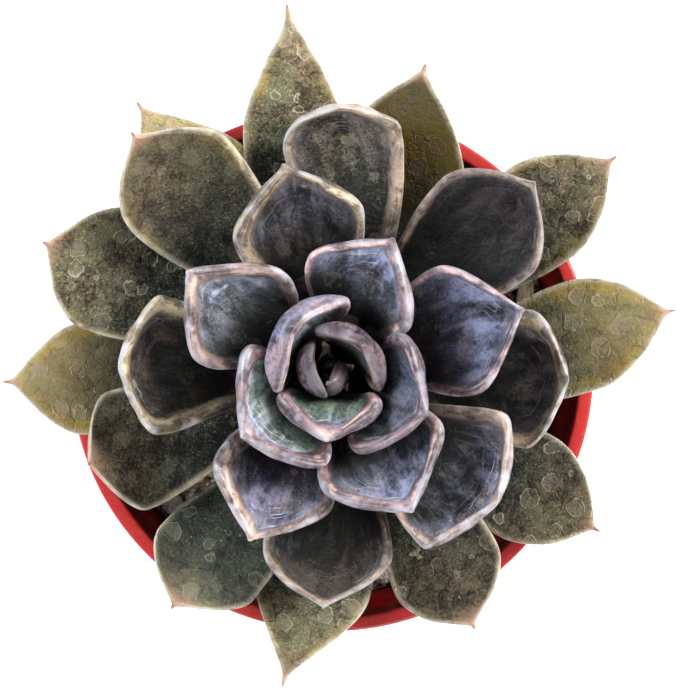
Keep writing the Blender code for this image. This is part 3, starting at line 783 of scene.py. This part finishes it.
def drainCutter():
    # upright cylinders on the drain circle, from 2 mm below the pot to 2 mm above its floor
    plan = potPlan
    steps = plan["drainSteps"]
    around = 2 * np.pi * np.arange(steps) / steps
    middle = 2 * np.pi * np.arange(plan["drains"])[:, None] / plan["drains"]
    x = plan["drainCircle"] * np.cos(middle) + plan["drain"] * np.cos(around)
    y = plan["drainCircle"] * np.sin(middle) + plan["drain"] * np.sin(around)
    low = np.stack((x, y, 0 * x - 2), -1)
    high = np.stack((x, y, 0 * x + plan["floor"] + 2), -1)
    points = np.concatenate((low, high), axis=1).reshape(-1, 3) * mm
    faces = []
    for i in range(plan["drains"]):
        foot = 2 * steps * i
        head = foot + steps
        faces.append([foot + j for j in reversed(range(steps))])
        faces.append([head + j for j in range(steps)])
        faces += [[foot + j, foot + (j + 1) % steps, head + (j + 1) % steps, head + j] for j in range(steps)]
    return newMesh("drains", points, faces, smooth=False)


def potMaterial():
    # red plastic, the top of its lip painted lighter as painted light: faint moulding rings and flow marks, fine
    # scratches, lime and soil dust inside, and a deeper red painted over the inside as painted shade; inside is 1
    # where the way from the axis is less than to the middle of the wall, 1.7 mm further out in the lip
    plan, tones = potPlan, potTones
    collar, top, floor = plan["collar"] * mm, plan["height"] * mm, plan["floor"] * mm
    s = newShader("pot_plastic")
    place = s.place()
    x, y, z = s.split(place)
    radius = (x * x + y * y).root()
    grain = s.noise(place, 0.5, 3, 0.6)
    cloud = s.noise(place, 14, 3, 0.55)
    dust = s.noise(place, 2.2, 4, 0.7)
    ring = s.noise(s.node("CombineXYZ", inputs={0: radius, 1: z}), 1.1, 2, 0.6)
    scratch = s.noise(s.scaled(place, 1.0, 1.0, 0.12), 0.8, 2, 0.6)
    nick = s.cells(place, 3).fall(0.03, 0.12) * s.lot(place, 3).step(0.8, 0.9)
    middle = (wallInside(z / mm) + plan["wall"] / 2) * mm
    middle = middle + z.step(collar + 0.05 * mm, collar + 0.4 * mm) * 1.7 * mm
    inside = (middle - radius).step(-0.2 * mm, 0.2 * mm)
    inside = inside * z.fall(top - 1.3 * mm, top - 0.4 * mm) * z.step(floor - 0.6 * mm, floor - 0.2 * mm)
    lime = inside * z.fall(collar - 8 * mm, collar - 2 * mm) * dust.step(0.46, 0.64)
    color = s.layers(
        s.mix(cloud.step(0.25, 0.75), *tones["wall"]),
        # painted light: the top of the lip lighter
        (z.step(top - 0.8 * mm, top - 0.1 * mm), tones["lip"]),
        (scratch.step(0.58, 0.72) * 0.12, tones["scratch"]),
        # painted shade: a deeper red all over the inside
        (inside * 0.95, tones["inside"]),
        (lime * 0.35, tones["lime"]),
        (inside * dust.step(0.62, 0.72) * 0.3, tones["soil"]),
        (nick * 0.25, tones["nick"]),
    )
    rough = 0.36 + lime * 0.3 + cloud.step(0.3, 0.7) * 0.06 + scratch.step(0.5, 0.7) * 0.1
    height = ring * 0.4 + grain * 0.15 + cloud * 0.6 + nick * 0.4 + lime * 0.3
    return s.surface(color, rough, height, 0.25, Specular_IOR_Level=0.3)


def makePot():
    plan = potPlan
    collar, height, rim = plan["collar"], plan["height"], plan["rim"]
    corners = [
        (0, 0, 0), (plan["recessInner"], 0, 0.4), (plan["recessInner"] + 0.2, plan["recess"], 0.4),
        (plan["recessOuter"] - 0.2, plan["recess"], 0.4), (plan["recessOuter"], 0, 0.4), (plan["base"], 0, 1.2),
        (rim - plan["collarStep"], collar, 0.5), (rim - 0.6, collar, 0.6), (rim, height, 0.9),
        (rim - plan["lip"], height, 0.8), (rim - plan["lip"], collar + 1, 0.9),
        (wallInside(collar - 1), collar - 1, 0.9), (wallInside(plan["floor"]), plan["floor"], 1.6),
        (0, plan["floor"], 0),
    ]
    rings = turned(roundedProfile(corners), plan["steps"])
    mesh = cutAway(meshFromRings("fine_pot", rings * mm), drainCutter())
    addPiece("fine_pot", mesh, potMaterial(), "pot_plastic", "pot")
    print("pot made:", len(mesh.polygons), "faces")


# Soil, with its loose grains and chips

soilPlan = {
    "top": 69.5, "wave": 0.8, "crumbs": 0.45, "bottom": 3.5, "clear": 0.6,  # mm, and the hole too
    "hole": 6.0, "holeDepth": 24.0, "rings": 96, "steps": 220,
}

gritPlan = {
    "count": 2300, "seed": 11, "size": (0.35, 1.15), "stretch": ((0.5, 0.8, 0.5), (1.0, 1.8, 1.0)),  # size in mm
    "wobble": 0.35, "tilt": 0.6, "above": 0.35,  # above: how much of its size the middle stands over the soil
}

soilTones = linearTones({
    "crumb": ((24, 18, 13), (150, 124, 98)), "dust": (190, 168, 138), "pale": (226, 214, 194),
})

# colours of the loose grit, with the two numbers between which each takes over from the one before
gritTones = [
    ((190, 170, 140), 0.22, 0.3), ((228, 214, 188), 0.5, 0.58),
    ((240, 212, 164), 0.74, 0.8), ((240, 236, 226), 0.86, 0.9),
]

# name: half sizes in mm, turn in degrees
looseGrains = {
    "perlite_1": ((2.7, 2.1, 1.8), 130), "perlite_2": ((2.2, 1.9, 1.5), 10), "perlite_3": ((2.0, 1.6, 1.4), 40),
    "bark_chip_1": ((3.8, 1.7, 1.2), 80), "bark_chip_2": ((4.0, 1.5, 1.2), 105),
    "bark_chip_3": ((3.4, 1.3, 1.0), 145),
}

# kind: dark and pale tone, and its stains
looseTones = linearTones({
    "perlite": ((170, 162, 148), (238, 234, 226), (176, 158, 132)),
    "bark_chip": ((222, 184, 128), (254, 240, 206), (120, 88, 56)),
})


def soilHeight(x, y):
    # top + two waves of noise, drawn to a quarter of the way up each loose grain near it
    plan = soilPlan
    place = np.stack((x, y, 0 * x), -1)
    height = plan["top"] + plan["wave"] * (0.6 * softNoise(place * 0.16, 3) + 0.4 * softNoise(place * 0.4, 4))
    for name in looseGrains:
        low, high = boxOf(name)
        middle = (low + high) / 2
        near = hump(np.hypot(x - middle[0], y - middle[1]), 0, 4.0)
        height = height + near * (low[2] + 0.25 * (high[2] - low[2]) - height)
    return height


def soilMaterial():
    # dark peat with pale crumbs and dust
    s = newShader("soil_grit")
    place = s.place()
    crumb = s.noise(place, 1.4, 4, 0.7)
    grain = s.noise(place, 0.4, 3, 0.7)
    dust = s.noise(place, 5, 3, 0.6)
    color = s.layers(
        s.mix(crumb.step(0.44, 0.6), *soilTones["crumb"]),
        (dust.step(0.48, 0.6) * 0.3, soilTones["dust"]),
        (grain.step(0.62, 0.7) * 0.6, soilTones["pale"]),
    )
    return s.surface(color, grain.step(0.3, 0.7, 0.8, 0.95), crumb + grain * 0.3, 1)


def gritMaterial():
    # every grain has its own number, kind: dark peat, tan stone, pale pumice, straw or white
    s = newShader("grit")
    place = s.place()
    kind = s.attribute("kind")
    crumb = s.noise(place, 0.6, 4, 0.7)
    color = s.layers(linear(70, 53, 40), *[(kind.step(start, end), linear(*tone)) for tone, start, end in gritTones])
    color = s.mix(crumb.step(0.38, 0.6), s.mix(0.55, color, linear(52, 40, 32)), color)
    return s.surface(color, crumb.step(0.3, 0.7, 0.75, 0.95), crumb, 0.3)


def makeSoil():
    plan = soilPlan
    top, bottom = plan["top"], plan["bottom"]
    edge = wallInside(top) - plan["clear"]
    foot = wallInside(bottom) - plan["clear"]
    across = edge + (plan["hole"] - edge) * np.linspace(0, 1, plan["rings"])
    outside = [(0, bottom), (foot - 1.5, bottom), (foot, bottom + 1.5), (edge, top - 2)]
    face = np.stack((across, np.full(plan["rings"], top)), -1)
    hole = [(plan["hole"], top - 2), (plan["hole"], top - plan["holeDepth"]), (0, top - plan["holeDepth"])]
    rings = turned(np.concatenate((outside, face, hole)), plan["steps"])
    surface = rings[len(outside):-len(hole)]
    crumbs = plan["crumbs"] * roughNoise(surface * [0.9, 0.9, 0], 21)
    surface[..., 2] = soilHeight(surface[..., 0], surface[..., 1]) + crumbs
    addPiece("fine_soil", meshFromRings("fine_soil", rings * mm), soilMaterial(), "soil_grit", "soil")
    makeGrit()
    makeLoose()
    print("soil made:", gritPlan["count"], "grains")


def blockSphere(steps):
    # points and quads of a cube of steps * steps squares a side, drawn out to radius 1
    line = np.linspace(-1, 1, steps + 1)
    a, b = np.meshgrid(line, line, indexing="ij")
    c = np.ones_like(a)
    sides = [(a, b, c), (b, a, -c), (c, a, b), (-c, b, a), (b, c, a), (a, -c, b)]
    points = np.concatenate([np.stack(side, -1).reshape(-1, 3) for side in sides])
    i, j = (v.ravel() for v in np.meshgrid(np.arange(steps), np.arange(steps), indexing="ij"))
    n = steps + 1
    quad = np.stack((i * n + j, (i + 1) * n + j, (i + 1) * n + j + 1, i * n + j + 1), -1)
    quads = np.concatenate([quad + n * n * k for k in range(6)])
    _, first, back = np.unique(np.round(points, 6), axis=0, return_index=True, return_inverse=True)
    return unit(points[first]), back.ravel()[quads]


def turnedBy(points, azimuth, tilt):
    # points turned by tilt about X and then by azimuth about Z, both in radians and one for each shape
    c, s = np.cos(tilt), np.sin(tilt)
    x, y, z = points[..., 0], points[..., 1] * c - points[..., 2] * s, points[..., 1] * s + points[..., 2] * c
    c, s = np.cos(azimuth), np.sin(azimuth)
    return np.stack((x * c - y * s, x * s + y * c, z), -1)


def makeGrit():
    # each grain is a small block sphere, pulled about by noise, stretched and turned, and sunk in the soil
    soil, plan = soilPlan, gritPlan
    random = np.random.default_rng(plan["seed"])
    ball, quads = blockSphere(2)
    count = plan["count"]
    least, most = plan["size"]
    size = least + (most - least) * random.random(count) ** 2.2
    outer = wallInside(soil["top"]) - soil["clear"] - 1.5 * most
    inner = soil["hole"] + 2 * most
    reach = np.sqrt(random.uniform(inner**2, outer**2, count))
    angle = random.uniform(0, 2 * np.pi, count)
    x, y = reach * np.cos(angle), reach * np.sin(angle)
    free = np.full(count, True)
    for name, (half, _) in looseGrains.items():
        low, high = boxOf(name)
        gap = np.hypot(x - (low[0] + high[0]) / 2, y - (low[1] + high[1]) / 2)
        free &= gap > max(half) * 0.8 + size
    wobble = 1 + plan["wobble"] * softNoise(ball * 1.3 + np.arange(count)[:, None, None] * 3.7, 9)
    stretch = random.uniform(*plan["stretch"], (count, 1, 3))
    shapes = ball * wobble[..., None] * stretch * size[:, None, None]
    tilt = plan["tilt"]
    shapes = turnedBy(shapes, random.uniform(0, 6.3, (count, 1)), random.uniform(-tilt, tilt, (count, 1)))
    shapes = shapes + np.stack((x, y, soilHeight(x, y) + plan["above"] * size), -1)[:, None]
    kind = random.random(count)
    faces = (quads + np.arange(count)[:, None, None] * len(ball))[free].reshape(-1, 4)
    used, faces = np.unique(faces, return_inverse=True)
    mesh = newMesh("grit", shapes.reshape(-1, 3)[used] * mm, faces.reshape(-1, 4).tolist())
    setAttribute(mesh, "kind", np.repeat(kind, len(ball))[used])
    addPiece("grit", mesh, gritMaterial(), "soil_grit")


def looseMaterial(name):
    # perlite is a white foam of tiny pits; a bark chip is straw-coloured with fibres along it
    dark, pale, stain = looseTones[name]
    s = newShader(name)
    place = s.place()
    if name == "perlite":
        pit = s.cells(place, 0.5)
        cloud = s.noise(place, 1.2, 3, 0.6)
        color = s.mix(pit.step(0.1, 0.5), dark, pale)
        color = s.mix(cloud.step(0.52, 0.66) * 0.6, color, stain)
        height = pit + cloud
    else:
        flow = s.attribute("flow", "Vector")
        fibre = s.noise(s.scaled(flow, 0.12, 1.0, 1.0), 0.25, 3, 0.6)
        cloud = s.noise(place, 1.5, 3, 0.6)
        color = s.mix(fibre.step(0.36, 0.62), dark, pale)
        color = s.mix(cloud.step(0.54, 0.68) * 0.5, color, stain)
        height = fibre + cloud * 0.4
    return s.surface(color, height.step(0.4, 1.4, 0.75, 0.95), height, 0.35)


def makeLoose():
    # perlite: ball pulled about by noise; chip: the same with flat sides, split ends and grooves along it
    materials = {kind: looseMaterial(kind) for kind in looseTones}
    ball, quads = blockSphere(16)
    for number, (name, (half, turn)) in enumerate(looseGrains.items()):
        kind = name.rsplit("_", 1)[0]
        chip = kind == "bark_chip"
        form = np.sign(ball) * np.abs(ball) ** (0.7 if chip else 0.95)
        grooves = softNoise(form * [0.4, 5, 5] + 9 * number, 31) if chip else roughNoise(form * 2.4 + 9 * number, 33)
        lumps = 0.12 * softNoise(form * 1.4 + 5 * number, 30) + (0.07 if chip else 0.09) * grooves
        flow = form * (0.93 + lumps)[:, None] * half
        shape = turnedBy(flow, math.radians(turn), math.radians(8))
        low, high = boxOf(name)
        shape = shape + (low + high) / 2 - (shape.max(axis=0) + shape.min(axis=0)) / 2
        mesh = newMesh(f"fine_{name}", shape * mm, quads.tolist())
        setAttribute(mesh, "flow", flow * mm)
        addPiece(f"fine_{name}", mesh, materials[kind], kind, name)


# Stem

stemPlan = {"foot": 45.8, "clear": 0.3, "scar": 0.45, "wave": 0.12, "bark": 0.14, "steps": 72}  # mm, but for steps

stemTones = linearTones({
    "bark": ((70, 54, 40), (150, 126, 98)), "young": ((30, 22, 20), (58, 46, 42)),
})


def stemMaterial():
    # tan bark with fibres along it, dark near the growing tip
    s = newShader("stem")
    place = s.place()
    crumb = s.noise(place, 1, 4, 0.65)
    fibre = s.noise(s.scaled(place, 1.0, 1.0, 0.2), 0.8, 3, 0.6)
    young = s.split(place)[2].step(84 * mm, 101 * mm)
    color = s.mix((crumb * 0.5 + fibre * 0.5).step(0.36, 0.62), *stemTones["bark"])
    color = s.mix(young, color, s.mix(crumb.step(0.35, 0.65), *stemTones["young"]))
    return s.surface(color, crumb.step(0.3, 0.7, 0.55, 0.85), crumb + fibre, 0.5)


def makeStem():
    # radius of the stem at the height of each root; between the scars the skin bulges by |sin|
    plan, leaves = stemPlan, leafPlan
    order = np.linspace(leaves["spiralEnd"], 0.9, 240)
    grown = np.clip(order / leaves["stemSwell"], 0, 1) ** 0.7
    radius = leaves["stemTip"] + (leaves["stemRadius"] - leaves["stemTip"]) * grown - plan["clear"]
    radius = radius - plan["scar"] * (1 - np.abs(np.sin(np.pi * order / 2))) * np.minimum(1, order / 6)
    height = leaves["rootTop"] - leaves["rootPitch"] * order
    full = leaves["stemRadius"] - plan["clear"]
    low = np.linspace(plan["foot"] + 1, height[0], 40)[:-1]
    profile = np.concatenate((
        [(0, plan["foot"]), (full - 1, plan["foot"])],
        np.stack((full - 0.15 + plan["wave"] * np.sin(low * 1.7), low), -1),
        np.stack((radius, height), -1), [(0, height[-1])],
    ))
    rings = turned(profile, plan["steps"])
    bark = np.abs(plan["bark"] * roughNoise(rings * [0.5, 0.5, 0.8], 61))
    bark = bark * np.minimum(1, np.hypot(rings[..., 0], rings[..., 1]) / 3)
    rings = rings - unit(rings * [1, 1, 0]) * bark[..., None]
    addPiece("fine_stem", meshFromRings("fine_stem", rings * mm), stemMaterial(), "stem", "stem")
    print("stem made")


# Light, floor and camera

studio = {
    "floor": linear(248, 247, 246), "floorSize": 3.0,
    "zenith": (0.6, 0.61, 0.64, 1.0), "horizon": (0.92, 0.95, 1.0, 1.0), "worldStrength": 0.8,
    "lamps": {  # place, size in metres, power, colour
        "key": ((-0.8, 0.25, 0.6), 0.35, 13.0, (0.9, 0.95, 1.0)),
        "fill": ((0.75, 0.35, 0.6), 0.35, 18.0, (1.0, 0.95, 0.9)),
        "front": ((0.2, -0.8, 0.55), 0.3, 5.0, (1.0, 0.97, 0.94)),
    },
}


def addFloor():
    # square plate at height 0
    corners = studio["floorSize"] * np.array([(-1, -1, 0), (1, -1, 0), (1, 1, 0), (-1, 1, 0)])
    mesh = newMesh("floor", corners, [(0, 1, 2, 3)], smooth=False)
    s = newShader("floor")
    grain = s.noise(s.place(), 40, 2)
    mesh.materials.append(s.finish(Base_Color=studio["floor"], Roughness=grain.step(0.3, 0.7, 0.7, 0.8)))
    floor = newObject("floor", mesh)


def addLamp(name, place, size, power, color):
    # square soft box that faces the plant
    lamp = bpy.data.lights.new(name, "AREA")
    lamp.size = size
    lamp.energy = power
    lamp.color = color
    box = newObject(name, lamp)
    box.location = place
    target = Vector((0, 0, leafPlan["rimHeight"] * mm))
    box.rotation_euler = (target - Vector(place)).to_track_quat("-Z", "Y").to_euler()


def addWorld():
    # light grey at the zenith, brighter all round the horizon
    world = bpy.data.worlds.new("studio")
    s = Shader(world, "Background")
    up = s.split(s.node("TexCoord", output="Generated"))[2]
    s.finish(Color=s.mix(up.step(0.1, 0.9), studio["horizon"], studio["zenith"]), Strength=studio["worldStrength"])
    bpy.context.scene.world = world


cameraPlan = {
    "x": 1.43 * mm, "y": 4.77 * mm,  # the point that the camera looks straight down on
    "overRim": 420 * mm, "rimHeight": 85 * mm,
    "photoHeight": 690, "pixel": 0.1908 * mm,  # size of one photo pixel at the height of the rim
}


def addCamera():
    # lens = sensor * distance / height of what the frame shows at that distance
    plan = cameraPlan
    camera = bpy.data.cameras.new("camera")
    camera.sensor_width = 36
    camera.lens = camera.sensor_width * plan["overRim"] / (plan["photoHeight"] * plan["pixel"])
    camera.clip_start = 0.01
    camera.clip_end = 10
    eye = newObject("camera", camera)
    eye.location = (plan["x"], plan["y"], plan["rimHeight"] + plan["overRim"])
    bpy.context.scene.camera = eye


addCamera()
addWorld()
addFloor()
for name, values in studio["lamps"].items():
    addLamp(name, *values)
bpy.context.scene.view_settings.view_transform = "Standard"
makePot()
makeSoil()
makeStem()
makeLeaves()
